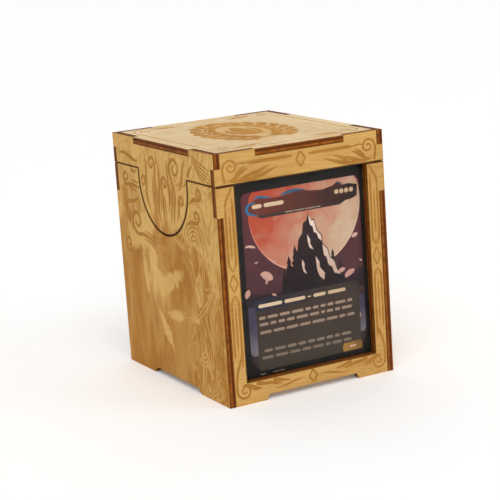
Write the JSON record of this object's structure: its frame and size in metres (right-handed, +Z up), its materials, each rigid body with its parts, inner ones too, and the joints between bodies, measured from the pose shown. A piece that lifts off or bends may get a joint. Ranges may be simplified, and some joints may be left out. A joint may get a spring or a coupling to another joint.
{
  "type": "card deck box",
  "caption": "Laser-cut plywood box for a deck of cards, with a lift-off lid and a front window that shows one sleeved card.",
  "frame": {"origin": "under the middle of the box, level with the soles of its feet", "axes": "+Z up, +X to the right seen from the front, the windowed front looks along -Y"},
  "size_m": [0.082, 0.096, 0.107],
  "materials": {
    "plywood_front": "raw birch plywood with burnt laser-cut edges",
    "plywood_side": "raw birch plywood, engraved, with burnt laser-cut edges",
    "plywood_top": "raw birch plywood, lightly engraved, with burnt laser-cut edges",
    "plywood_lining": "plain raw birch plywood",
    "card_print": "printed card",
    "sleeve_black": "matt black film",
    "sleeve_clear": "clear film"
  },
  "bodies": {
    "base": {"front_frame": "plywood_front", "back_panel": "plywood_front", "left_panel": "plywood_side", "right_panel": "plywood_side", "bottom_panel": "plywood_lining", "divider": "plywood_lining", "liner_left": "plywood_lining", "liner_right": "plywood_lining", "liner_back": "plywood_lining", "slot_spacer_left": "plywood_lining", "slot_spacer_right": "plywood_lining"},
    "lid": {"lid_top": "plywood_top", "lid_front": "plywood_front", "lid_back": "plywood_front", "lid_left": "plywood_side", "lid_right": "plywood_side"},
    "card": {"display_card": "card_print", "sleeve_front": "sleeve_clear", "sleeve_back": "sleeve_black"}
  },
  "joints": [
    {"name": "lid_lift", "type": "slide", "parent": "base", "child": "lid", "axis": [0, 0, 1], "range_m": [0, 0.125]},
    {"name": "card_lift", "type": "slide", "parent": "base", "child": "card", "axis": [0, 0, 1], "range_m": [0, 0.1]}
  ],
  "couplings": [
    {"joint": "card_lift", "follows": "lid_lift", "ratio": 0.8}
  ]
}
